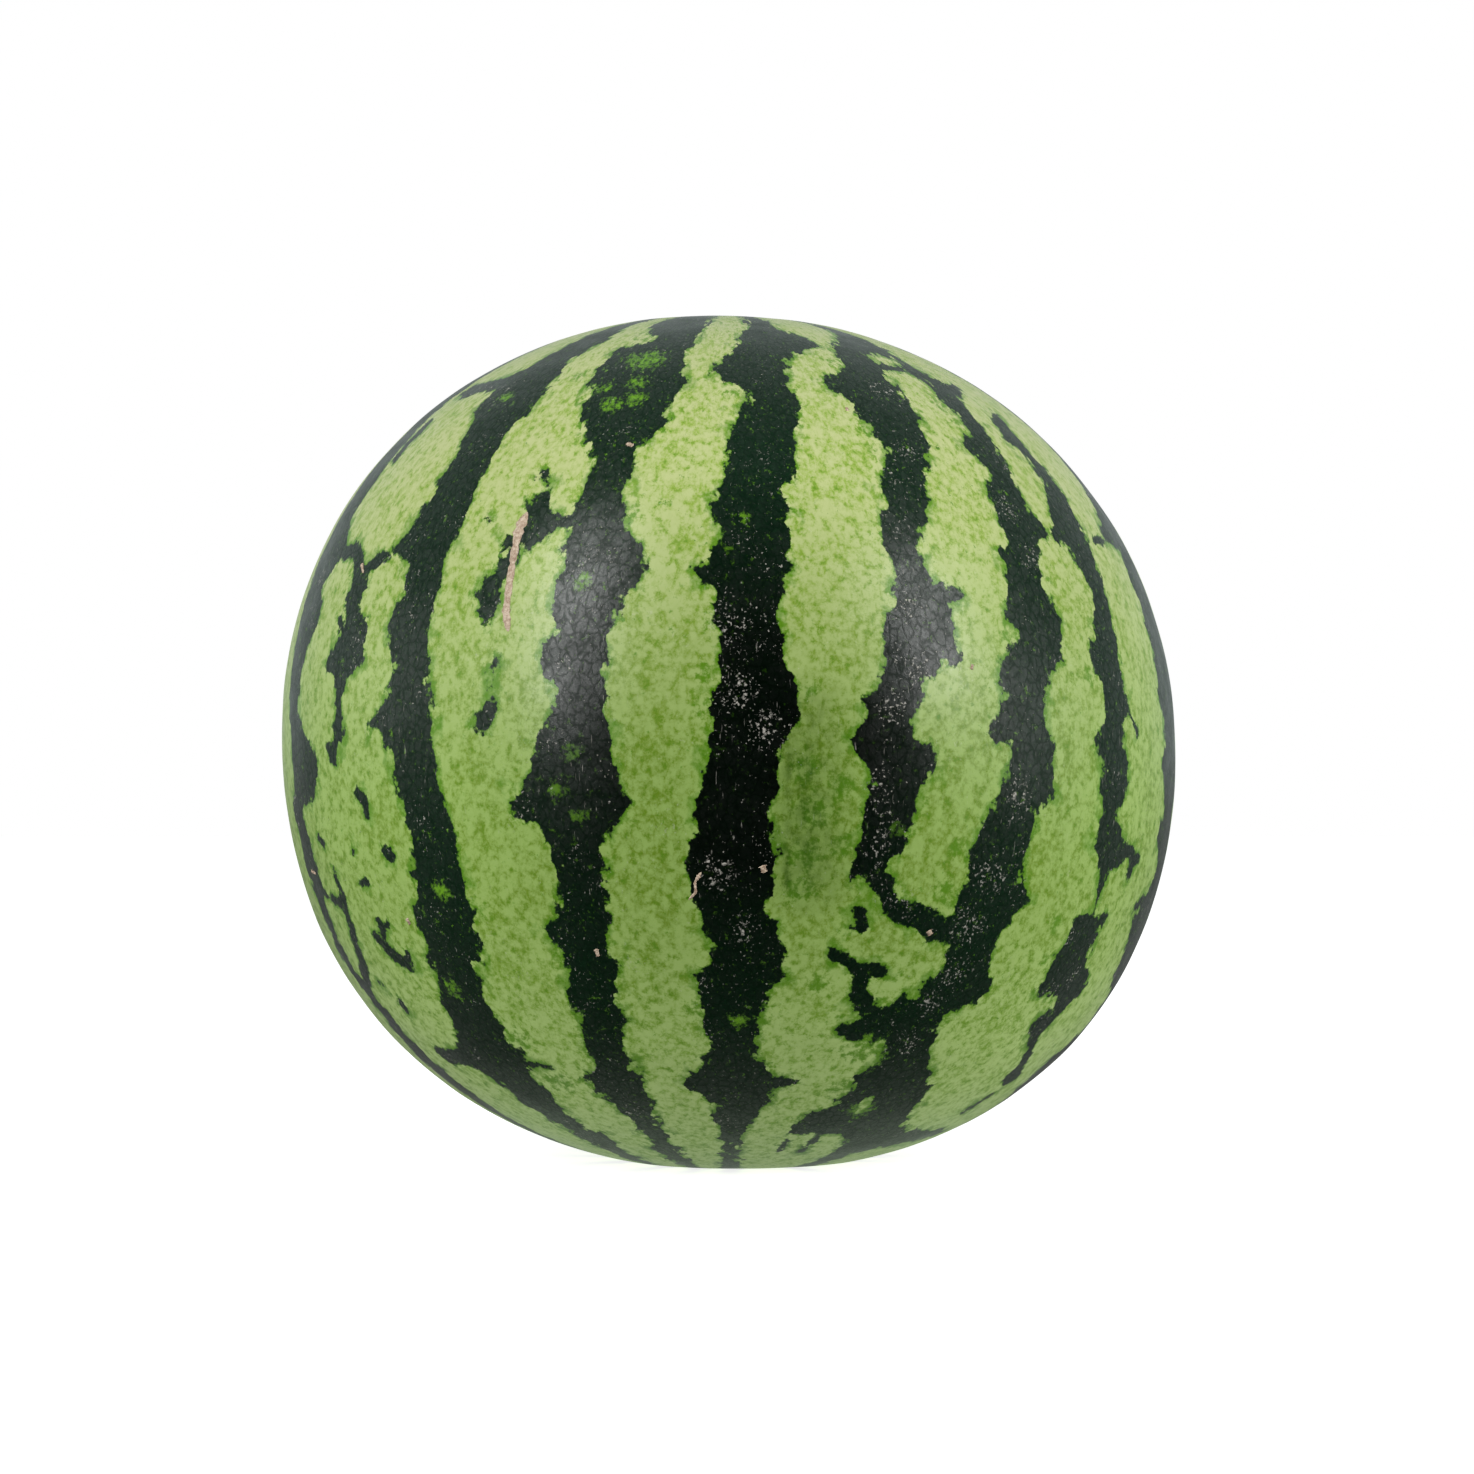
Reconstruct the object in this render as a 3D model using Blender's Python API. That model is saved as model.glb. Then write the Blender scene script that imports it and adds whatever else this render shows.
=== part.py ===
"""A small round watermelon with a striped rind, standing on the flat spot at its blossom end.

Run it with Blender 4.5:  blender --background --python part.py

Frame: metres, +Z up along the axis from blossom end to stem end, -Y the front, +X the right.
The origin is on the surface that the fruit stands on, under the middle of the fruit.
A watermelon grows as one piece, so it is one solid. The stem has come off at its joint and
left a hollow in the crown. The stripes are a finish and have no shape of their own.
"""

import math

import bmesh
import bpy
from mathutils import Vector

# Driving dimensions, in metres
WIDTH = 0.200  # side to side, at the widest level
DEPTH = 0.197  # front to back, at the widest level
CROWN_HEIGHT = 0.0954  # from the widest level up to the crown, before the stem hollow
BASE_HEIGHT = 0.0958  # from the widest level down to the blossom end, before the rest spot
REST_SPOT_TRIM = 0.0023  # what the flat rest spot takes off the blossom end
STEM_HOLLOW_DEPTH = 0.0024
STEM_HOLLOW_RADIUS = 0.011

# Form, with no units
CROWN_FULLNESS = 2.07  # superellipse exponent of the upper outline, where 2 is an ellipse
BASE_FULLNESS = 2.19  # the lower outline is fuller, so the fruit sits squarely
LEAN = 0.011  # share of the radius that the crown leans to the left and the base to the right
LOBES = 3  # a watermelon has three carpels, and swells a little over each
LOBE_SWELL = 0.004  # share of the radius

# Mesh
SEGMENTS_ROUND = 72
RINGS = 40
RING_CROWDING = 0.25  # draws the rings towards the ends, where the outline turns most

RIND_COLOUR = (0.235, 0.365, 0.095, 1.0)  # linear, the light green between the stripes
RIND_ROUGHNESS = 0.42  # waxy, between matt and gloss


def clear_scene():
    """Removes every object of the scene that Blender starts with."""
    for old in list(bpy.data.objects):
        bpy.data.objects.remove(old, do_unlink=True)


def outline_radius(latitude):
    """Distance from the fruit's middle to its upright outline, at an angle above the middle."""
    if latitude >= 0.0:
        height, fullness = CROWN_HEIGHT, CROWN_FULLNESS
    else:
        height, fullness = BASE_HEIGHT, BASE_FULLNESS
    across = (math.cos(latitude) / (WIDTH / 2)) ** fullness
    upright = (abs(math.sin(latitude)) / height) ** fullness
    return (across + upright) ** (-1.0 / fullness)


def rind_point(latitude, longitude):
    """A point on the rind. Longitude 0 faces the front and runs towards the right."""
    radius = outline_radius(latitude)
    radius *= 1.0 - LEAN * math.sin(2 * latitude) * math.sin(longitude)
    radius *= 1.0 + LOBE_SWELL * math.cos(LOBES * longitude) * math.cos(latitude) ** 2
    point = Vector(
        (
            radius * math.cos(latitude) * math.sin(longitude),
            -radius * math.cos(latitude) * math.cos(longitude) * DEPTH / WIDTH,
            radius * math.sin(latitude),
        )
    )
    if latitude > 0.0:
        from_axis = math.hypot(point.x, point.y) / STEM_HOLLOW_RADIUS
        point.z -= STEM_HOLLOW_DEPTH * math.exp(-(from_axis**2))
    return point


def shape_fruit(mesh_data):
    """Moves a ball's points out to the rind, then trims the blossom end to the flat rest spot."""
    ball = bmesh.new()
    bmesh.ops.create_uvsphere(ball, u_segments=SEGMENTS_ROUND, v_segments=RINGS, radius=1.0)
    for point in ball.verts:
        polar = math.acos(max(-1.0, min(1.0, point.co.z)))
        polar -= RING_CROWDING * math.sin(2 * polar)
        longitude = math.atan2(point.co.x, -point.co.y)
        point.co = rind_point(math.pi / 2 - polar, longitude)
    trim_level = min(point.co.z for point in ball.verts) + REST_SPOT_TRIM
    cut = bmesh.ops.bisect_plane(
        ball,
        geom=ball.verts[:] + ball.edges[:] + ball.faces[:],
        dist=1e-6,
        plane_co=(0.0, 0.0, trim_level),
        plane_no=(0.0, 0.0, -1.0),
        clear_outer=True,
    )
    rim = [item for item in cut["geom_cut"] if isinstance(item, bmesh.types.BMEdge)]
    bmesh.ops.contextual_create(ball, geom=rim)
    bmesh.ops.recalc_face_normals(ball, faces=ball.faces[:])
    stand_on_origin(ball)
    ball.to_mesh(mesh_data)
    ball.free()


def stand_on_origin(fruit):
    """Puts the rest spot at height 0, with the origin under the middle of the fruit's box."""
    across = [point.co.x for point in fruit.verts]
    along = [point.co.y for point in fruit.verts]
    lowest = min(point.co.z for point in fruit.verts)
    middle = Vector(((min(across) + max(across)) / 2, (min(along) + max(along)) / 2, lowest))
    bmesh.ops.translate(fruit, verts=fruit.verts[:], vec=-middle)


def rind_material():
    """Waxy green rind."""
    rind = bpy.data.materials.new("rind")
    rind.use_nodes = True
    shader = rind.node_tree.nodes["Principled BSDF"]
    shader.inputs["Base Color"].default_value = RIND_COLOUR
    shader.inputs["Roughness"].default_value = RIND_ROUGHNESS
    shader.inputs["Metallic"].default_value = 0.0
    rind.diffuse_color = RIND_COLOUR
    return rind


def build_watermelon():
    """The whole fruit as one object, in a collection of its own."""
    collection = bpy.data.collections.new("watermelon_parts")
    bpy.context.scene.collection.children.link(collection)
    mesh_data = bpy.data.meshes.new("watermelon")
    shape_fruit(mesh_data)
    mesh_data.materials.append(rind_material())
    mesh_data.shade_smooth()
    mesh_data.set_sharp_from_angle(angle=math.radians(30))
    fruit = bpy.data.objects.new("watermelon", mesh_data)
    collection.objects.link(fruit)
    return fruit


def main():
    clear_scene()
    build_watermelon()


main()
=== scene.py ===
"""A small round watermelon, dressed: rind with its stripes, stem scar and corky scratch, in a pale studio.

Longitude 0 faces the front (-Y) and runs towards the right (+X). Latitude 90 is the stem end.
Angles are in degrees in the lists, and lengths in metres unless a name ends in _MM.
"""

import math
import random

import bmesh
import bpy
import numpy as np
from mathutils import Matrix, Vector, kdtree, noise
from mathutils.bvhtree import BVHTree


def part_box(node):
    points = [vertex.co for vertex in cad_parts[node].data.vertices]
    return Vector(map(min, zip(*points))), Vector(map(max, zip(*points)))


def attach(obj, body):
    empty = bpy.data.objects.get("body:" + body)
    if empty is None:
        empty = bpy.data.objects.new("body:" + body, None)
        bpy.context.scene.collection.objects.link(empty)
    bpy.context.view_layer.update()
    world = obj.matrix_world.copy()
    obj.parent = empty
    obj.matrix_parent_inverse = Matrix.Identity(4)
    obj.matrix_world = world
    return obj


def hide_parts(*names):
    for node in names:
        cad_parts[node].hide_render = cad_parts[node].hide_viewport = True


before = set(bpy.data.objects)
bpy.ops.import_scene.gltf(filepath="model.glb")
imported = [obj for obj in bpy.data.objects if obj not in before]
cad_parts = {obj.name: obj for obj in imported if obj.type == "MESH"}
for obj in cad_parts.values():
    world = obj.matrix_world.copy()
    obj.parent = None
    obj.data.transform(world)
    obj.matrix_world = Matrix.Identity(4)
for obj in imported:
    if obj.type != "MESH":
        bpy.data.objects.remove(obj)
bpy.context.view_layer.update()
LOW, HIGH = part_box("watermelon")
SIDES = HIGH - LOW
MM = 0.001

# Form of the fruit, as shares of half its width
HALF_WIDTH = SIDES.x / 2
CROWN_HEIGHT = 0.954
BASE_HEIGHT = 0.958
REST_SPOT_TRIM = 0.023
REST_SPOT_ROUNDING = 0.006
TRIM_LEVEL = -BASE_HEIGHT + REST_SPOT_TRIM
WIDEST_LEVEL = -TRIM_LEVEL * HALF_WIDTH  # height in metres of the widest ring
STEM_HOLLOW_DEPTH = 0.024
STEM_HOLLOW_RADIUS = 0.11
CROWN_FULLNESS = 2.07
BASE_FULLNESS = 2.19
LEAN = 0.011
LOBES = 3
LOBE_SWELL = 0.004
RIPPLE = 0.0016  # slow unevenness of a grown skin
RIPPLE_LENGTH = 0.30
RIPPLE_REACHES = 80  # degrees of latitude: the poles stay even
RIND_CUTS = 127  # 128 faces along each side of the ball's six patches

BLOSSOM_DIMPLE_DEPTH = 0.009
BLOSSOM_DIMPLE_RADIUS = 0.045

STEM_SCAR_RADIUS = 4.6 * MM
STEM_SCAR_RISE = 0.9 * MM
BLOSSOM_SCAR_RADIUS = 2.7 * MM
BLOSSOM_SCAR_RISE = 0.35 * MM
BEAD_STEPS = 64
BEAD_SIDES = 14
BEAD_RIB_STEPS = 2.6
SCAR_SIDES = 72
SCAR_RINGS = 48

# The side and back, grown at random: stripes by their longitude, then how many, smallest and largest in mm
SEED = 20
HIDDEN_MIDDLES = [98, 116, 134, 153, 171, 189, 207, 226, 244, 263]
HIDDEN_SPURS = 55
HIDDEN_SCUFFS = (16, 4, 7)
HIDDEN_MOSS = (26, 2.5, 5.5)
HIDDEN_DEEP_GREEN = (46, 2.4, 5.5)

# How patterns narrow towards the poles, as the skin grew
LEAST_GROWTH = 0.02
NARROWEST_GROWTH = 0.3
BASE_GROWTH = 0.6

# The rind's pattern: sizes in mm
CELL_MEAN = 0.46  # usual distance to the nearest cell point, in cells
LOBE_MM = 4.2
LOBE_REACH_MM = 3.6
SMALL_LOBE_MM = 1.6
SMALL_LOBE_REACH_MM = 1.3
MOTTLE_MM = 2.0
REGION_MM = 11.0  # paler and greener regions of the light rind
VEIN_MM = 3.2
FLECK_MM = 1.3
RAGGED_MM = 0.9
BORDER_MM = 6.0  # how often the deep green border widens
DARK_GRAIN_MM = 0.8
MOSS_MM = 1.5
SMEAR_MM = 2.5
SCUFF_CROWD_MM = 9.0
SPECK_MM = 0.62  # the finest real specks are smaller, and are drawn this coarse to show
SCRATCH_MM = 1.3
RUB_MM = 1.35
LEATHER_MM = 2.1
WORN_MM = 1.5
PORE_MM = 0.8  # real pores are smaller, and are drawn this coarse to show
WAX_MM = 6.0
RELIEF_MM = 0.7
CORK_MM = 0.7
FIBRE_MM = 0.9
WANDER_MM = 2.4
WANDER_REACH_MM = 2.2

# Gloss and relief
WAX_IOR = 1.45
WAX_SMOOTHEST = 0.28
WAX_ROUGHEST = 0.38
WAX_GLOSS = 0.60
CRACK_GLOSS = 0.18
MEAN_GLOSS = 0.4  # for a copy of the shader that leaves out the gloss pattern
# share of the gloss kept in the middle of the front, where shade is painted
SHADED_MIDDLE_GLOSS_KEPT = 0.55
CORK_ROUGHNESS = 0.75
STEM_ROUGHNESS = 0.85
CRACK_DEPTH_MM = 0.012
GRAIN_DEPTH_MM = 0.022
SCUFF_HEIGHT_MM = 0.04
CORK_DEPTH_MM = 0.12
FIBRE_DEPTH_MM = 0.25

# Colours in sRGB
# The light rind's crown, middle and foot tones: partly its own colour, and partly painted light at the
# crown and foot with painted shade below the middle
CROWN_PALE = "b2ba81"
CROWN_GREEN = "8aa441"
BASE_PALE = "90ad5a"
BASE_GREEN = "688720"
FOOT_PALE = "b0ca7c"
FOOT_GREEN = "82a840"
DEEP_GREEN = "4e8008"
DARK_GREEN = "051c0d"
DARK_GRAIN = "0a2713"
MOSS_GREEN = "66981c"
MOSS_SHADE = "1c420e"
DARK_BASE = "061d0c"
STAIN_OLIVE = "6f8a26"
# painted shade, multiplied over the middle of the front
PAINTED_SHADE_GREEN = "2c4418"
SCUFF_CORK = "c6c2b8"
CORK_DARK = "8f7560"
CORK_PALE = "c9b8a2"
STEM_DARK = "4f3d28"
STEM_PALE = "a58f6c"

# Heights in mm between which the light rind's colour changes, partly its own tone and partly painted light
# and shade
FOOT_TO_MIDDLE = (8.0, 66.0)
MIDDLE_TO_CROWN = (74.0, 165.0)
DARK_BASE_TO_MIDDLE = (35.0, 85.0)


# ---------------------------------------------------------------- the stripes, drawn on the rind
# Each dark stripe has a left and a right edge: points (latitude, longitude) from crown to base.

FRONT_STRIPES = {
    "left_limb": (
        [(84, -82), (72, -83), (60, -86), (44, -79), (30, -77), (20, -76.5), (10, -75), (4, -74),
         (0, -72.5), (-5, -72), (-7.5, -73.6), (-14, -73.2), (-18, -72), (-22, -72), (-28, -73),
         (-31.5, -71), (-37, -69.5), (-44, -71), (-51, -68.5), (-60, -68), (-80, -78)],
        [(84, -77), (72, -74), (60, -70), (50, -71), (38, -69), (30, -68.5), (27, -67.5), (24.6, -64.5),
         (23.4, -65), (22, -66.2), (20, -68), (17, -66), (15, -66), (13, -67.5), (8, -70), (4, -69.2),
         (1, -68.7), (0, -64.2), (-3, -62), (-5.2, -62), (-7.2, -64.5), (-7.4, -68.6), (-9.5, -69),
         (-12, -68), (-16.2, -68.2), (-18, -67), (-19.2, -67.5), (-20.2, -68.8), (-25, -69.8), (-28, -70),
         (-30, -68.5), (-31.5, -66.4), (-34, -66.6), (-37, -65.2), (-40, -65.8), (-43, -64.8), (-47, -63.2),
         (-50, -62.2), (-60, -62), (-80, -64)],
    ),
    "left_branch": (
        [(22.3, -59), (20, -58), (17, -57.8), (14.5, -56.5), (13, -57.3), (12, -58.5), (10.5, -60.2),
         (9.3, -61), (8.8, -58.5), (8, -57.2), (2, -56.8), (0.5, -57.6), (-1, -58.8), (-2, -58)],
        [(22.3, -53), (20.5, -54.3), (18, -54.4), (16, -53.6), (13.5, -50.8), (11.5, -51.6), (9.6, -51.4),
         (8.3, -54.2), (6.5, -55.4), (3, -55.1), (1.2, -54.4), (0, -55.5), (-2, -56.4)],
    ),
    "above_scratch": (
        [(34.5, -27.2), (32, -26.5), (31, -26.7), (30.2, -28.1), (29, -27.9), (25, -27.6), (22.6, -26.4)],
        [(34.5, -26.9), (33, -26.1), (31, -25.5), (28, -24.8), (27.4, -24), (27.1, -20), (26.1, -20),
         (25.9, -23.8), (24.6, -24.6), (22.6, -26)],
    ),
    "beside_scratch": (
        [(24.7, -30.2), (23, -30), (21.5, -30.8), (19, -31.3), (17.8, -32.4), (16, -32.6), (14.4, -31)],
        [(24.7, -29), (22, -28.6), (17.5, -28.8), (15.5, -29.6), (14.4, -30.6)],
    ),
    "below_scratch": (
        [(10.2, -29.2), (9.4, -29.7), (7, -29.4), (4.5, -29.8), (2.8, -30.4), (1, -31.2)],
        [(10.2, -28.8), (9, -28.2), (7, -28.9), (5, -29), (3.8, -28.5), (2.6, -28.9), (1, -30.4)],
    ),
    "left": (
        [(86, -54), (70, -51), (60, -49), (56, -50), (52, -52), (48, -51), (43, -48.3), (40, -46.8),
         (30, -46.8), (26, -48.5), (24, -51), (22, -46), (18, -45.4), (14, -46.7), (9, -44.2), (5, -45.8),
         (3, -47.5), (1, -46), (-3, -44), (-13, -42), (-20, -43.7), (-28, -43.9), (-33, -45.4), (-38, -46),
         (-40, -49), (-44, -49), (-46, -45.3), (-50, -44.7), (-53, -42.5), (-58, -40.5), (-63, -39.5),
         (-84, -38)],
        [(86, -44), (70, -41), (65, -37.6), (60, -37.5), (56, -39.4), (52, -37), (50, -36.2), (45, -37),
         (40, -38.2), (30, -38.3), (24, -39), (17, -40), (10, -39.2), (4, -37.8), (-5, -37.3), (-9, -35.8),
         (-15, -34.7), (-20, -33.9), (-25, -33.9), (-28, -36.2), (-33, -37), (-37, -36.3), (-41, -34.5),
         (-44, -35.3), (-48, -35.6), (-52, -34.7), (-55, -35.8), (-58, -31), (-62, -31.7), (-84, -33)],
    ),
    "left_of_middle": (
        [(87, -30), (70, -27.8), (65, -24.4), (63.5, -20.5), (61.5, -20), (60, -22.5), (59.3, -28.4),
         (57, -27.2), (53, -27), (47, -25.6), (43, -24.2), (40, -22.5), (37, -21), (35, -19.4), (31, -19.6),
         (28, -20.8), (20, -20.8), (15, -21.4), (13, -20.6), (10, -22.5), (6, -20.6), (3, -20.6), (0, -22),
         (-3, -23.6), (-5.5, -25.4), (-8, -25.6), (-9.5, -23), (-12, -21.3), (-18, -20.8), (-20.5, -21.8),
         (-22.3, -24), (-23.5, -22.6), (-30, -21), (-38, -21.6), (-41, -20.8), (-43, -22.8), (-44.7, -24.4),
         (-48, -22.5), (-51, -21), (-53, -19.7), (-65, -19.2), (-86, -18)],
        [(87, -8), (73, -8.9), (62, -8.9), (59, -10.3), (52, -9.7), (50, -8), (47.5, -9.7), (40.5, -10.4),
         (39, -12.4), (36, -14.2), (30, -14.3), (25, -14), (23, -12), (22, -10.4), (19.5, -10.6),
         (17, -13.3), (10, -14.4), (3, -14.7), (1.4, -13.4), (-3, -13.8), (-5, -12.5), (-7, -11.4),
         (-8.6, -13.9), (-12, -14.9), (-20, -15.3), (-30, -14.7), (-32, -15.6), (-34, -14.7), (-37, -16.1),
         (-43, -15.3), (-50, -14.2), (-60, -14.4), (-86, -12)],
    ),
    "middle": (
        [(87, 9), (73, 8), (67, 6.7), (65, 5), (63, 3), (58, 1.7), (56, -1.1), (54, -2.5), (51.5, -2.2),
         (50, 0), (49.3, 3.3), (47.5, 4.2), (45, 3.6), (43.5, 1.6), (40, 0.3), (33, -0.3), (30, -0.8),
         (28.8, -1.8), (26.5, -0.6), (24, -1.3), (20, -3.6), (18.7, -2), (15, -1.6), (9, -0.8), (2, -1.9),
         (-3, -2.5), (-10, -3.9), (-17.5, -4.7), (-19.5, -2.2), (-24, -1.9), (-28, -3.3), (-35, -2.8),
         (-38, -1.7), (-41, -3.9), (-43, -5.6), (-44.6, -6.9), (-46.3, -4), (-48, -2.2), (-60, -1.1),
         (-70, -2.2), (-87, -3)],
        [(87, 15), (70, 16), (67, 16.1), (66, 18.9), (64.5, 21.4), (62, 23.5), (60.8, 24), (59.5, 19.2),
         (58, 15), (55, 12.5), (50, 11.4), (42.5, 11.7), (40, 9.7), (35, 9.2), (31, 7.2), (28, 8),
         (22, 7.1), (20, 7.5), (13, 5.8), (11, 6.7), (7, 6.7), (2.5, 8.3), (1, 6.5), (-3, 5.7), (-9, 4.4),
         (-14, 5.6), (-19, 4.2), (-22, 6), (-28.5, 7.2), (-30, 5), (-33, 4.2), (-40, 4.4), (-43, 7.2),
         (-46, 7.8), (-49, 6), (-54, 3.9), (-56, 2.4), (-63, 2.5), (-70, 3.6), (-87, 5)],
    ),
    "right_of_middle": (
        [(87, 45), (70, 42), (66, 37.8), (63, 32.5), (60.6, 28), (57, 27.2), (55, 26.5), (53, 24.4),
         (50.2, 18.6), (48.8, 20.8), (46, 23.3), (41, 24.2), (37, 25.3), (34, 23.3), (32, 21.7), (29, 22.5),
         (26, 20.2), (21, 22), (18, 20.8), (15, 20), (10, 19.2), (7, 18.3), (4.5, 16.2), (0, 15.3),
         (-4, 16.7), (-7, 16.7), (-10, 15.3), (-12, 16), (-14.5, 15), (-16, 16.7), (-18, 18.9),
         (-19.5, 21.5), (-21, 25)],
        [(87, 50), (66, 49), (56.6, 45), (55.4, 42), (54.8, 36), (52, 34.7), (45, 35.2), (42, 33.4),
         (40, 33.2), (38.7, 34.3), (37, 31.7), (33, 29.7), (31, 28.3), (27, 27.2), (24, 25.3), (21, 25.3),
         (19, 26.7), (17.8, 31), (16.5, 28.3), (14, 27.6), (10, 29.2), (9, 26.1), (8, 24.4), (4, 22.2),
         (0, 22.4), (-1, 25), (-3, 25), (-6, 21.8), (-10, 22), (-12, 21.4), (-14, 19.7), (-16.5, 19.7),
         (-19, 22.2), (-21, 25.6)],
    ),
    "right": (
        [(66, 47), (57, 44), (55, 46.5), (53, 47.2), (51, 45.5), (44, 45.8), (41, 43.3), (39.2, 40.2),
         (38.4, 42.6), (34, 42.8), (32, 40.3), (27, 41), (25, 40.3), (23.6, 38.3), (20, 38.9), (15, 37.2),
         (13, 38.2), (10.5, 36.7), (9.3, 34.6), (5, 35), (1, 32.5), (-0.3, 35.4), (-2, 35.8), (-6, 34.2),
         (-10, 32.2), (-12, 30.3), (-16, 30.6), (-20, 28.9), (-22, 26), (-24.3, 30.2), (-27, 28.9),
         (-30, 27.2), (-32, 24), (-33.5, 19), (-35.5, 16.1), (-36.8, 18), (-37.6, 24), (-41, 24),
         (-43.5, 22), (-49, 20.2), (-51, 16.1), (-54, 14.3), (-55.8, 14), (-56.3, 27), (-58, 29.2),
         (-61, 30.6), (-86, 33)],
        [(66, 50), (58, 50.8), (54, 53), (52.5, 57), (50.5, 56), (49.3, 51.5), (45, 50), (40, 48.6),
         (34, 47.5), (30, 47.2), (27, 49.4), (26, 50.5), (25, 46.4), (20, 44.7), (13, 45.8), (10, 45),
         (8.5, 42), (4, 41.2), (0, 41.4), (-1, 42.5), (-6, 42.5), (-8, 40.3), (-12, 38.9), (-14.5, 37.5),
         (-17, 38.5), (-19.5, 40.6), (-21, 38.3), (-24, 35.8), (-27, 36.4), (-30, 38.3), (-32, 36.5),
         (-33.5, 32.5), (-36, 30.6), (-40, 32.8), (-43, 34.4), (-46, 36.7), (-53, 38.9), (-56, 41.5),
         (-57.3, 52), (-58.5, 66), (-60.5, 62), (-62, 45), (-63.5, 38), (-86, 38)],
    ),
    "far_right": (
        [(47, 60), (44.5, 55.6), (40, 55.6), (37, 56.4), (34, 56.4), (31.5, 54), (28, 52), (25.7, 50),
         (24.5, 53), (22, 54.7), (19, 55.2), (15, 53.9), (11, 51.2), (8, 53), (3, 53.8), (0.3, 51),
         (-2, 52.8), (-5, 52.2), (-9, 53.2), (-11, 52), (-12, 51), (-13.5, 52.2), (-15, 53.5),
         (-17.8, 54.9)],
        [(47, 61), (43, 59.3), (40, 59.2), (33, 60.5), (28, 59.6), (23, 59.2), (15, 58.9), (9, 57.8),
         (4, 59.3), (2.5, 56.8), (0, 57), (-3.3, 58.4), (-6, 57.6), (-8.5, 56.2), (-11, 57.5), (-12.3, 59),
         (-13.6, 61), (-14.6, 59.3), (-15.2, 56), (-17.8, 55.3)],
    ),
    "lower_far_right": (
        [(-21.3, 50), (-22.2, 51.4), (-23.5, 50.3), (-26.3, 50), (-27.2, 49), (-29, 49.2), (-30.8, 47.6),
         (-31.3, 52.5), (-33.8, 55.6), (-35.2, 53), (-36.2, 51.2), (-39, 54.2), (-42, 56.8), (-47, 58)],
        [(-21.3, 58), (-23.5, 57.3), (-26.8, 57.5), (-28.2, 58), (-29.2, 60), (-31, 61), (-32.2, 60.5),
         (-33.5, 58.2), (-35.2, 57.2), (-38.5, 56.4), (-41.2, 58), (-44, 60.5), (-47, 62)],
    ),
    "right_limb": (
        [(86, 68), (66, 70), (54, 75), (45, 77), (35, 75), (30, 71), (27, 66), (25.5, 72), (10, 71.3),
         (5, 71.2), (1.5, 72.8), (-0.5, 73.2), (-3, 71), (-6, 73.5), (-8, 74.2), (-10.5, 72.2),
         (-12.2, 71.8), (-13, 74), (-15.2, 75), (-18.8, 72.8), (-20.3, 66.8), (-20.9, 71.8), (-22, 69.6),
         (-24.5, 71), (-27.2, 71), (-29.8, 72.8), (-33.2, 78), (-38, 78), (-41, 74), (-44, 71), (-49, 71),
         (-50.5, 75), (-84, 77)],
        [(86, 74), (60, 82), (40, 84), (25, 81), (10, 83), (-8, 82), (-20, 84), (-35, 82), (-49, 82),
         (-60, 81), (-84, 80)],
    ),
}

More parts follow.
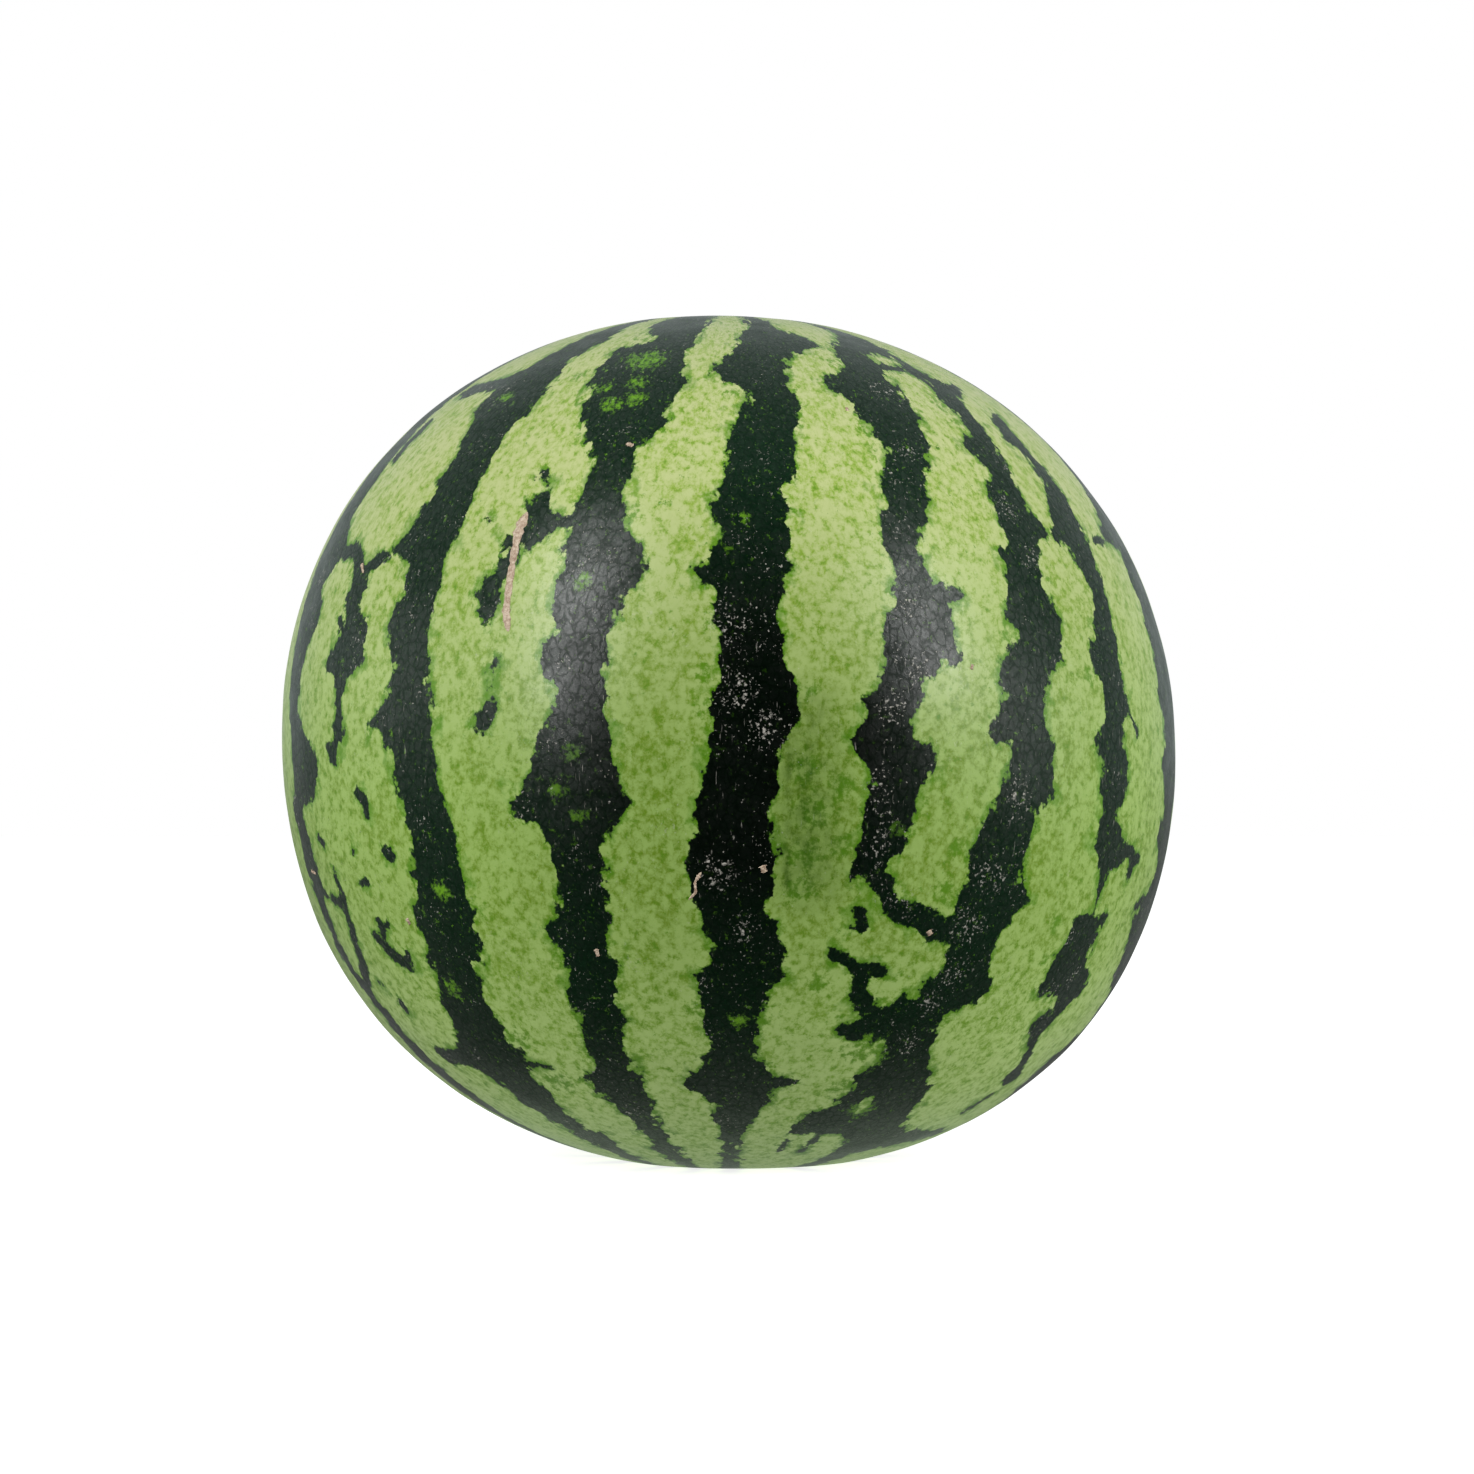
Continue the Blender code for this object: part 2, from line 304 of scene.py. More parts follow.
# Dark spurs and pockets that leave the stripes: from (latitude, longitude), to, half width in mm
DARK_SPURS = [
    ((51.5, -51), (50.5, -66), 2.6), ((44, -67), (38, -66.5), 1.6), ((24.4, -68), (23.9, -63), 0.8),
    ((23.9, -63), (24.4, -60.3), 1.2), ((24, -60), (22.2, -57.5), 1.2), ((22.2, -55), (23.2, -51), 0.9),
    ((23.2, -51), (24.6, -47), 0.7), ((14.9, -58.5), (14.7, -58), 0.8), ((2.6, -46.5), (2.2, -48.8), 0.7),
    ((2.3, -49), (1, -49.2), 0.6), ((-42, -47), (-42.5, -55.5), 2.4), ((-6, -52.3), (-7.3, -50.6), 0.9),
    ((-7.3, -50.6), (-9, -50.3), 0.8), ((-11.8, -64.2), (-12.8, -62.6), 0.9),
    ((-13.2, -48), (-13.9, -46.2), 0.7), ((-13.2, -55), (-14.3, -54.8), 0.5),
    ((-17.4, -54.3), (-17.1, -53), 0.7), ((-22, -53.2), (-23.2, -52.4), 0.7),
    ((-23.2, -52.4), (-22.5, -50.6), 0.6), ((-23.2, -52.4), (-24.4, -53), 0.7),
    ((-24.6, -55), (-26.5, -52.6), 1.4), ((-26.5, -52.6), (-27.8, -50.3), 1.3),
    ((-27.6, -50), (-26.3, -48.6), 0.7), ((-27.9, -50.3), (-28.7, -49.7), 0.7),
    ((-31, -61), (-31.6, -60), 0.8), ((-34.2, -57.4), (-35, -57), 0.9), ((-15.5, -61), (-19.5, -61), 0.7),
    ((-19.5, -61), (-22.5, -61.4), 1.5), ((-22.5, -61.4), (-26.5, -62.4), 1.2),
    ((-26.5, -62.4), (-29.5, -64.4), 1.4), ((-29.5, -64.4), (-31.5, -67), 1.8),
    ((-19, -68), (-19.9, -64.5), 0.8), ((-19.9, -64.5), (-20.2, -61.5), 1.0),
    ((-42.4, -34.5), (-42.8, -29.8), 0.6), ((27.6, -34.3), (27.2, -33.9), 0.7),
    ((27.2, -25), (26.7, -18.5), 1.5), ((29.6, -10), (29.4, -8.2), 0.4),
    ((-22.3, -23), (-22.3, -25), 0.5), ((-44, 6), (-44.2, 10.3), 1.5), ((-19.2, 20.6), (-21.8, 27), 2.3),
    ((-19.8, 16.2), (-21.6, 16.8), 1.0), ((-21.4, 16.2), (-22.4, 15.2), 0.5),
    ((-20.2, 16.6), (-19, 17.6), 0.5), ((-25.2, 13.6), (-27, 16.8), 0.9), ((-27, 16.8), (-27.6, 20), 1.3),
    ((-28, 18), (-31, 18.2), 1.5), ((-31, 18.4), (-34, 20.5), 2.2), ((-22.3, 25.4), (-22.8, 28.5), 1.5),
    ((-57, 20.6), (-63, 19.8), 0.8), ((-58, 13.6), (-62, 13.2), 0.5), ((-13.4, 60), (-14.3, 64.2), 1.4),
    ((-14.2, 62.6), (-15.8, 62.2), 1.5), ((-16.5, 54.9), (-21.5, 55.2), 0.5),
    ((3.7, 59.5), (1, 61.5), 0.4), ((26.2, 63), (26.2, 72), 0.8), ((-48.8, 59), (-52.8, 57), 0.7),
    ((-36.6, 52), (-38.5, 55), 0.8),
]

# Light islands inside the dark: from (latitude, longitude), to, half width in mm
LIGHT_ISLANDS = [
    ((58.6, 39.8), (58.3, 43.4), 2.8), ((52, -19.5), (57, -18.4), 0.6), ((-48, 25.9), (-53, 25.7), 1.5),
    ((60, 54), (56, 55), 5.0), ((48.5, -66), (47, -67), 2.6),
]

# Places where the dark is flecked with bright green: (latitude, longitude, radius in mm)
MOSS_PATCHES = [
    (56, -18.6, 6.6), (50, -17.5, 3.6), (45.5, -20.4, 4.2), (46.5, -16.6, 3.6), (49, -23.4, 2.4),
    (-5.5, -20.2, 3.6), (-8.5, -17.8, 2.4), (-1, -18.3, 3.0), (23, 0.3, 2.2), (27, 2.2, 2.0),
    (48, -46, 3.0), (19, -18, 3.4), (-18, -38.5, 3.4), (-31, -42, 3.6), (-40, 22, 6.0), (-37.5, 21, 3.0),
    (-50, 25.8, 4.6), (38, -13, 2.5), (-17.5, 27.4, 3.2), (-46, 19, 4.0), (-10, 20, 2.5), (-34, 1.5, 3.0),
]

# Places that were rubbed most: (latitude, longitude, radius in mm)
SCUFFED_PATCHES = [
    (14, -0.5, 8), (6, 1, 7), (1.5, 4, 6), (16, 22.5, 5), (4, 19.5, 6), (-5, 18, 6), (8, 23, 5),
    (-22, 32, 7), (-28, 31, 7), (-32, 29, 5), (-16, 34, 7), (-24, 51, 4), (-29, 56, 4), (50, 31, 5),
    (38, 29, 5), (26, 23.5, 4), (30, 43, 5), (23, 44, 5), (-15, -1, 6), (-22, 2, 5), (-12, 18, 5),
    (-18, 21, 4), (-6, 37, 6), (-38, 28, 5),
]

# Light rind that stays a deeper green: (latitude, longitude, radius in mm)
DEEP_GREEN_PATCHES = [
    (42, 24, 4.2), (37.5, 24.6, 4.5), (33.5, 23, 4.0), (12.5, 37, 4.2), (44, 45, 4.5), (47, 44, 4.0),
    (-33, 32.5, 4.5), (16, 45.6, 2.6), (8, 50.8, 3.2), (4, -2.6, 4.0), (8, -2.4, 3.6), (14, -2, 2.6),
    (21, -2.8, 2.4), (28, -13, 3.2), (-7, 22.6, 4.0), (-17.5, 27.6, 4.4), (-39, 20, 6.0),
    (-46, 19.4, 4.4), (-29, 12, 3.2), (-33, 6.5, 2.6), (-38.5, -34, 5.0), (-20, -33, 4.0),
    (-45.5, -30.5, 5.0), (48, 1, 3.0), (61.5, -23, 4.5), (56, 25, 4.0), (-27, 48, 3.6), (-22, 47, 3.4),
    (-12, 28.6, 3.0), (-32, -4.4, 3.4), (45.5, 12.2, 2.2), (35, -19.6, 2.4), (52, -31, 3.0),
    (-19.3, 28.6, 3.0), (-34.2, 28, 2.6), (-34, 15.8, 2.4), (-31.2, 20.8, 1.8), (-27.8, 22.4, 2.0),
    (-3, 9, 4.6), (-8, 10, 5.6), (-13, 9, 5.6), (-17, 8.5, 5.0), (-12, 13.5, 4.0), (-5, 13.5, 4.2),
    (6, 9.5, 3.0),
]

STAIN_LINE = ((-1, 6.8), (-17, 7.2), 2.0)  # an olive smear
STAIN_HALO = ((2, 9), (-15, 9.5), 12.0)  # and the duller rind round it
HALO_STRENGTH = 0.75

# Painted shade: the middle of the front is darkened to a deeper green, most of all on its dark stripes, and
# is less glossy: (latitude, longitude, radius in mm)
PAINTED_SHADE_MIDDLE = (-1, 3, 62)

# Raised corky marks: path of (latitude, longitude), half width and rise in mm
CORKY_MARKS = [
    ([(28.4, -28.0), (26, -28.5), (22, -28.3), (18, -28.1), (15.5, -28.0), (13.0, -27.3)], 0.85, 0.42),
    ([(-15, -3.1), (-16.2, -3.9), (-17.4, -3.8), (-18.3, -4.7)], 0.26, 0.22),
    ([(-14.2, 4.1), (-15.1, 4.4)], 0.55, 0.25), ([(-24.6, -17), (-25.6, -16.8)], 0.4, 0.22),
    ([(-22.3, 26), (-22.9, 26.4)], 0.5, 0.24), ([(22.3, -57.2), (21, -55.8)], 0.35, 0.22),
    ([(-16.3, -70.8), (-16.6, -69)], 0.3, 0.22), ([(8.6, 30.3), (9.2, 30.6)], 0.3, 0.18),
    ([(-21.6, -46.3), (-22.4, -45.9)], 0.45, 0.2), ([(44.8, 21), (45.5, 21.1)], 0.32, 0.18),
    ([(38.4, -15.6), (38, -14.4)], 0.45, 0.24),
]


def hidden_stripes(draw):
    """The stripes of the side and back, grown at random in the front's manner."""
    grown = {}
    for index, middle in enumerate(HIDDEN_MIDDLES):
        left, right = [], []
        latitude = draw.uniform(76, 87)
        half = draw.uniform(3.6, 5.4)
        drift = draw.uniform(-3.5, 3.5)
        while latitude > -88:
            swing = drift * math.sin(math.radians(latitude) * 2 + index)
            left.append((latitude, middle + swing - half * draw.uniform(0.5, 1.5)))
            right.append((latitude, middle + swing + half * draw.uniform(0.5, 1.5)))
            latitude -= draw.uniform(2.0, 6.0)
        grown[f"hidden_{index}"] = (left, right)
    return grown


def hidden_spurs(draw, count):
    """Dark branches and pockets for the side and back, each a short bent line that tapers."""
    spurs = []
    for _ in range(count):
        latitude, longitude = draw.uniform(-55, 60), draw.uniform(92, 268)
        half_width = draw.uniform(1.0, 2.4)
        way = draw.uniform(0, 2 * math.pi)
        for _ in range(draw.choice((1, 2, 3))):
            way += draw.uniform(-0.9, 0.9)
            reach = draw.uniform(1.5, 3.0)
            ahead = (latitude + reach * math.sin(way), longitude + reach * math.cos(way))
            spurs.append(((latitude, longitude), ahead, half_width))
            latitude, longitude = ahead
            half_width *= 0.65
    return spurs


def hidden_patches(draw, count, smallest, largest):
    """Round patches for the side and back."""
    return [
        (draw.uniform(-60, 65), draw.uniform(88, 272), draw.uniform(smallest, largest))
        for _ in range(count)
    ]


# ---------------------------------------------------------------- the form


def outline_radius(latitude):
    """Distance from the middle to the upright outline, in half widths."""
    upper = latitude >= 0.0
    height = np.where(upper, CROWN_HEIGHT, BASE_HEIGHT)
    fullness = np.where(upper, CROWN_FULLNESS, BASE_FULLNESS)
    across = np.cos(latitude) ** fullness
    upright = (np.abs(np.sin(latitude)) / height) ** fullness
    return (across + upright) ** (-1.0 / fullness)


def rind_points(latitude, longitude):
    """Points on the rind in half widths, before it is stood on the surface. Angles in radians."""
    radius = outline_radius(latitude)
    radius = radius * (1.0 - LEAN * np.sin(2 * latitude) * np.sin(longitude))
    radius = radius * (1.0 + LOBE_SWELL * np.cos(LOBES * longitude) * np.cos(latitude) ** 2)
    across = radius * np.cos(latitude)
    x = across * np.sin(longitude)
    y = -across * np.cos(longitude) * SIDES.y / SIDES.x
    z = radius * np.sin(latitude)
    from_axis = np.hypot(x, y) / STEM_HOLLOW_RADIUS
    z = z - np.where(latitude > 0.0, STEM_HOLLOW_DEPTH * np.exp(-(from_axis**2)), 0.0)
    return np.stack([x, y, z], axis=-1)


def stand(points):
    """From half widths about the middle to metres about the origin, with the rest spot at height 0."""
    placed = points * HALF_WIDTH
    placed[..., 2] -= TRIM_LEVEL * HALF_WIDTH
    return placed


def surface_point(latitude, longitude, rise=0.0):
    """One point of the rind in metres, lifted off it by a rise in metres. Angles in degrees."""
    angles = np.radians([latitude]), np.radians([longitude])
    point = stand(rind_points(*angles))[0]
    middle = np.array([0.0, 0.0, WIDEST_LEVEL])
    outward = (point - middle) / np.linalg.norm(point - middle)
    return Vector(point + outward * rise)


def ball_of_squares():
    """A closed ball of radius 1 in nearly square faces, from a cube."""
    ball = bmesh.new()
    bmesh.ops.create_cube(ball, size=2.0)
    bmesh.ops.subdivide_edges(ball, edges=ball.edges[:], cuts=RIND_CUTS, use_grid_fill=True)
    for point in ball.verts:
        spread = Vector([math.tan(value * math.pi / 4) for value in point.co])
        point.co = spread.normalized()
    return ball


def ripple(direction):
    """Slow unevenness of the skin, as a share of the radius."""
    return RIPPLE * noise.fractal(direction / RIPPLE_LENGTH, 0.6, 2.0, 3)


def soft_floor(heights):
    """Flattens the base at the rest spot, with a rounded edge."""
    above = heights - TRIM_LEVEL
    return TRIM_LEVEL + 0.5 * (above + np.sqrt(above**2 + REST_SPOT_ROUNDING**2))


def shape_rind(ball):
    """Moves the ball's points out to the rind. Returns their latitudes and longitudes in degrees."""
    directions = np.array([point.co for point in ball.verts])
    latitude = np.arcsin(np.clip(directions[:, 2], -1.0, 1.0))
    longitude = np.arctan2(directions[:, 0], -directions[:, 1])
    shaped = rind_points(latitude, longitude)
    uneven = np.array([ripple(point.co) for point in ball.verts])
    shaped *= (1.0 + uneven * (np.abs(latitude) < math.radians(RIPPLE_REACHES)))[:, None]
    shaped[:, 2] = soft_floor(shaped[:, 2])
    from_axis = np.hypot(shaped[:, 0], shaped[:, 1]) / BLOSSOM_DIMPLE_RADIUS
    shaped[:, 2] += np.where(latitude < 0.0, BLOSSOM_DIMPLE_DEPTH * np.exp(-(from_axis**4)), 0.0)
    for point, place in zip(ball.verts, shaped):
        point.co = place
    return np.degrees(latitude), np.degrees(longitude)


def fit_to_part(ball):
    """Scales and moves the rind so that its box is the part's box."""
    places = np.array([point.co for point in ball.verts])
    lowest, highest = Vector(places.min(0)), Vector(places.max(0))
    size = highest - lowest
    scale = Vector((SIDES.x / size.x, SIDES.y / size.y, SIDES.z / size.z))
    bmesh.ops.translate(ball, verts=ball.verts[:], vec=-lowest)
    bmesh.ops.scale(ball, verts=ball.verts[:], vec=scale)
    bmesh.ops.translate(ball, verts=ball.verts[:], vec=LOW)


# ---------------------------------------------------------------- where the stripes run

SLOPE_STEP = 0.4  # degrees of latitude over which an edge's slope is taken
FAR_MM = 1000.0
GAP_REACH_MM = 15.0
PATCH_SHARPNESS = 1.6
STEADY_REACH_MM = 4.0  # round a spur, the border's lobes are calmed as far as this
STEADY_FADE_MM = 2.5


def edge_gap(latitude, longitude, edge, side, mm_along, mm_round):
    """Distance in mm past a stripe's edge, below 0 on the stripe's side of it."""
    latitudes, longitudes = np.array(sorted(edge), float).T
    below, here, above = (
        np.interp(latitude + step, latitudes, longitudes) for step in (-SLOPE_STEP, 0.0, SLOPE_STEP)
    )
    slope = (above - below) / (2 * SLOPE_STEP)
    steepness = np.sqrt(1.0 + (slope * mm_round / mm_along) ** 2)
    return side * (longitude - here) * mm_round / steepness


def stripe_gap(latitude, longitude, stripe, mm_along, mm_round):
    """Distance in mm to a stripe, below 0 inside it."""
    left, right = stripe
    middle = sum(point[1] for point in left + right) / len(left + right)
    turned = (longitude - middle + 180.0) % 360.0 - 180.0 + middle
    gap = np.maximum(
        edge_gap(latitude, turned, left, -1.0, mm_along, mm_round),
        edge_gap(latitude, turned, right, 1.0, mm_along, mm_round),
    )
    top = min(left[0][0], right[0][0])
    bottom = max(left[-1][0], right[-1][0])
    gap = np.maximum(gap, (latitude - top) * mm_along)
    return np.maximum(gap, (bottom - latitude) * mm_along)


def line_gap(places, start, end, half_width_mm):
    """Distance in mm to a round-ended line on the rind, below 0 inside it."""
    first = np.array(surface_point(*start))
    along = np.array(surface_point(*end)) - first
    share = np.clip((places - first) @ along / max(along @ along, 1e-12), 0.0, 1.0)
    nearest = first + share[:, None] * along
    return np.linalg.norm(places - nearest, axis=1) / MM - half_width_mm


def rough_gap(places, latitude, longitude, stripes, spurs, islands):
    """A first distance to the dark rind in mm, below 0 inside it."""
    mm_along = math.radians(1.0) * HALF_WIDTH / MM
    mm_round = np.maximum(np.hypot(places[:, 0], places[:, 1]) / MM * math.radians(1.0), 0.05)
    gap = np.full(len(places), FAR_MM)
    for stripe in stripes.values():
        gap = np.minimum(gap, stripe_gap(latitude, longitude, stripe, mm_along, mm_round))
    for spur in spurs:
        gap = np.minimum(gap, line_gap(places, *spur))
    for island in islands:
        gap = np.maximum(gap, -line_gap(places, *island))
    return gap


def true_gap(mesh, places, rough):
    """Distance in mm to the nearest edge between light and dark rind, below 0 in the dark."""
    ends = np.empty(len(mesh.edges) * 2, np.int64)
    mesh.edges.foreach_get("vertices", ends)
    ends = ends.reshape(-1, 2)
    crossing = ends[(rough[ends[:, 0]] < 0) != (rough[ends[:, 1]] < 0)]
    from_first = rough[crossing[:, 0]] / (rough[crossing[:, 0]] - rough[crossing[:, 1]])
    firsts, seconds = places[crossing[:, 0]], places[crossing[:, 1]]
    crossings = firsts * (1 - from_first[:, None]) + seconds * from_first[:, None]
    tree = kdtree.KDTree(len(crossings))
    for index, place in enumerate(crossings):
        tree.insert(place, index)
    tree.balance()
    distance = np.array([tree.find(place)[2] for place in places]) / MM
    return np.where(rough < 0, -distance, distance)


def patch_cover(places, patches):
    """How strongly round patches cover each point, from 0 to 1."""
    cover = np.zeros(len(places))
    for latitude, longitude, radius in patches:
        middle = np.array(surface_point(latitude, longitude))
        near = 1.0 - np.linalg.norm(places - middle, axis=1) / MM / radius
        cover = np.maximum(cover, np.clip(near * PATCH_SHARPNESS, 0.0, 1.0))
    return cover


def grown_places(latitude, longitude):
    """Places in mm on the skin as it grew, for patterns that narrow towards the poles."""
    latitude, longitude = np.radians(latitude), np.radians(longitude)
    round_it = np.maximum(np.cos(latitude), LEAST_GROWTH)
    upper = np.minimum(1.0, round_it / NARROWEST_GROWTH)
    across = HALF_WIDTH / MM * np.where(latitude < 0.0, round_it**BASE_GROWTH, upper)
    along = HALF_WIDTH / MM * latitude
    return np.stack([across * np.sin(longitude), -across * np.cos(longitude), along], axis=-1)


def store(mesh, name, values):
    """Keeps a number or a place for each point of the mesh, for its material to read."""
    kind, field = ("FLOAT_VECTOR", "vector") if values.ndim == 2 else ("FLOAT", "value")
    attribute = mesh.attributes.new(name, kind, "POINT")
    attribute.data.foreach_set(field, values.astype(np.float32).ravel())


def draw_stripes(mesh, latitude, longitude):
    """Stores the stripes and patches on the rind's points."""
    draw = random.Random(SEED)
    places = np.empty(len(mesh.vertices) * 3, np.float32)
    mesh.vertices.foreach_get("co", places)
    places = places.reshape(-1, 3).astype(float)
    stripes = dict(FRONT_STRIPES)
    stripes.update(hidden_stripes(draw))
    spurs = DARK_SPURS + hidden_spurs(draw, HIDDEN_SPURS)
    rough = rough_gap(places, latitude, longitude, stripes, spurs, LIGHT_ISLANDS)
    store(mesh, "grown_mm", grown_places(latitude, longitude))
    # where shade is painted on the middle of the front
    store(mesh, "painted_front_shade", patch_cover(places, [PAINTED_SHADE_MIDDLE]))
    scuffed = SCUFFED_PATCHES + hidden_patches(random.Random(SEED + 1), *HIDDEN_SCUFFS)
    store(mesh, "scuffed", patch_cover(places, scuffed))
    store(mesh, "stripe_gap_mm", np.clip(true_gap(mesh, places, rough), -GAP_REACH_MM, GAP_REACH_MM))
    store(mesh, "moss", patch_cover(places, MOSS_PATCHES + hidden_patches(draw, *HIDDEN_MOSS)))
    deep = DEEP_GREEN_PATCHES + hidden_patches(draw, *HIDDEN_DEEP_GREEN)
    store(mesh, "deep_green", patch_cover(places, deep))
    steady = [line_gap(places, *spur) for spur in DARK_SPURS]
    store(mesh, "steady", np.clip((STEADY_REACH_MM - np.min(steady, axis=0)) / STEADY_FADE_MM, 0.0, 1.0))
    smear, halo = (-line_gap(places, *line) / line[2] for line in (STAIN_LINE, STAIN_HALO))
    store(mesh, "stain", np.clip(np.maximum(smear, halo * HALO_STRENGTH), 0.0, 1.0))


# ---------------------------------------------------------------- materials


def linear(hex_colour):
    """An sRGB hex colour, such as "c8d48a", as linear red, green, blue and alpha."""
    channels = [int(hex_colour[place : place + 2], 16) / 255 for place in (0, 2, 4)]
    return tuple(
        channel / 12.92 if channel <= 0.04045 else ((channel + 0.055) / 1.055) ** 2.4
        for channel in channels
    ) + (1.0,)


def give(tree, node, links):
    """Gives each of these sockets of a node a value or another node's output."""
    for socket, value in links.items():
        if isinstance(value, bpy.types.NodeSocket):
            tree.links.new(value, node.inputs[socket])
        else:
            node.inputs[socket].default_value = value


def add(tree, kind, links=None, **settings):
    """Adds a node with its settings and links. Returns its output."""
    node = tree.nodes.new("ShaderNode" + kind)
    for name, value in settings.items():
        setattr(node, name, value)
    give(tree, node, links or {})
    return next(output for output in node.outputs if output.enabled)


def new_material(name):
    """An empty material, its node tree and its shader."""
    material = bpy.data.materials.new(name)
    material.use_nodes = True
    tree = material.node_tree
    return material, tree, tree.nodes["Principled BSDF"]


def places_in_mm(tree):
    """Places on the piece, in mm."""
    place = tree.nodes.new("ShaderNodeTexCoord").outputs["Object"]
    return add(tree, "VectorMath", {0: place, 3: 1 / MM}, operation="SCALE")


def stored(tree, name, socket="Fac"):
    """A number, or with "Vector" a place, that the piece keeps for each of its points."""
    return add(tree, "Attribute", attribute_name=name).node.outputs[socket]


def sized(place, size_mm, **more):
    """Links for a pattern whose grains or cells are this many mm apart."""
    return {"Vector": place, "Scale": 1 / size_mm, **more}


def wandering(tree, place, size_mm, reach_mm):
    """Coordinates pushed about by a soft noise, so that no cell drawn on them is round."""
    noisy = add(tree, "TexNoise", sized(place, size_mm, Detail=2.0))
    push = noisy.node.outputs["Color"]
    push = add(tree, "VectorMath", {0: push, 1: (0.5, 0.5, 0.5)}, operation="SUBTRACT")
    push = add(tree, "VectorMath", {0: push, 3: reach_mm}, operation="SCALE")
    return add(tree, "VectorMath", {0: place, 1: push}, operation="ADD")


def stripe_edge(tree, place, wandered):
    """Distance in mm into the light rind. Its border has round light lobes and sharp dark cusps."""
    edge = stored(tree, "stripe_gap_mm")
    steady = stored(tree, "steady")
    lobes = add(tree, "TexVoronoi", sized(wandered, LOBE_MM))
    lobes = {0: lobes, 1: -LOBE_REACH_MM, 2: LOBE_REACH_MM * CELL_MEAN}
    lobes = add(tree, "Math", lobes, operation="MULTIPLY_ADD")
    small = add(tree, "TexVoronoi", sized(wandered, SMALL_LOBE_MM))
    small = {0: small, 1: -SMALL_LOBE_REACH_MM, 2: SMALL_LOBE_REACH_MM * CELL_MEAN}
    small = add(tree, "Math", small, operation="MULTIPLY_ADD")
    both = add(tree, "Math", {0: lobes, 1: small}, operation="ADD")
    calmed = add(tree, "MapRange", {0: steady, 3: 1.0, 4: 0.62})
    both = add(tree, "Math", {0: both, 1: calmed}, operation="MULTIPLY")
    ragged = add(tree, "TexNoise", sized(place, RAGGED_MM, Detail=3.0, Roughness=0.6))
    ragged = add(tree, "Math", {0: ragged, 1: 2.2, 2: -1.1}, operation="MULTIPLY_ADD")
    edge = add(tree, "Math", {0: edge, 1: both}, operation="ADD")
    return add(tree, "Math", {0: edge, 1: ragged}, operation="ADD")


def tone(tree, height, foot, middle, crown):
    """A colour that changes with height, from the foot through the middle to the crown. Partly the rind's
    own paler crown and greener lower half, and partly painted light: more at the crown and the foot, less
    just below the middle.
    """
    low, high = MIDDLE_TO_CROWN
    rising = add(tree, "MapRange", {0: height, 1: low, 2: high}, interpolation_type="SMOOTHSTEP")
    low, high = FOOT_TO_MIDDLE
    falling = add(tree, "MapRange", {0: height, 1: high, 2: low}, interpolation_type="SMOOTHSTEP")
    colour = add(tree, "Mix", {0: rising, 6: linear(middle), 7: linear(crown)}, data_type="RGBA")
    return add(tree, "Mix", {0: falling, 6: colour, 7: linear(foot)}, data_type="RGBA")


def mottled_share(tree, wandered, level):
    """How green the light rind is, from 0 to 1: a fine mottle crossed by broken hairline veins."""
    mottled = {0: level, 1: 0.41, 2: 0.66, 4: 0.95}
    mottled = add(tree, "MapRange", mottled, interpolation_type="SMOOTHSTEP")
    upright = add(tree, "Mapping", {0: wandered, 3: (1.0, 1.0, 0.6)})
    veins = add(tree, "TexVoronoi", sized(upright, VEIN_MM), feature="DISTANCE_TO_EDGE")
    veins = add(tree, "MapRange", {0: veins, 1: 0.13, 2: 0.02})
    broken = add(tree, "MapRange", {0: level, 1: 0.42, 2: 0.58, 3: 0.1, 4: 1.0})
    veins = add(tree, "Math", {0: veins, 1: broken}, operation="MULTIPLY")
    return add(tree, "Math", {0: mottled, 1: veins}, operation="MAXIMUM")


def deep_share(tree, place, edge, mottle, region):
    """Where the light rind is deep green, from 0 to 1: its border, its green patches and its flecks."""
    flecks = add(tree, "TexNoise", sized(place, FLECK_MM, Detail=4.0, Roughness=0.7))
    flecks = add(tree, "Math", {0: region, 1: 0.5, 2: flecks}, operation="MULTIPLY_ADD")
    flecks = add(tree, "MapRange", {0: flecks, 1: 0.625, 2: 0.73, 4: 0.85})
    rim_width = add(tree, "TexNoise", sized(place, BORDER_MM, Detail=2.0))
    rim_width = add(tree, "MapRange", {0: rim_width, 1: 0.42, 2: 0.66, 3: 0.40, 4: 3.0})
    rim_noise = add(tree, "Math", {0: mottle, 1: -5.0, 2: 2.5}, operation="MULTIPLY_ADD")
    rim = add(tree, "Math", {0: edge, 1: rim_noise}, operation="ADD")
    rim = add(tree, "Math", {0: rim, 1: rim_width}, operation="DIVIDE")
    rim = add(tree, "MapRange", {0: rim, 1: 0.1, 2: 1.1, 3: 0.9, 4: 0.0})
    deep = stored(tree, "deep_green")
    deep_level = add(tree, "Math", {0: deep, 1: 0.16, 2: mottle}, operation="MULTIPLY_ADD")
    deep = add(tree, "MapRange", {0: deep_level, 1: 0.57, 2: 0.72, 4: 0.8})
    rim = add(tree, "Math", {0: rim, 1: deep}, operation="MAXIMUM")
    return add(tree, "Math", {0: rim, 1: flecks}, operation="MAXIMUM")


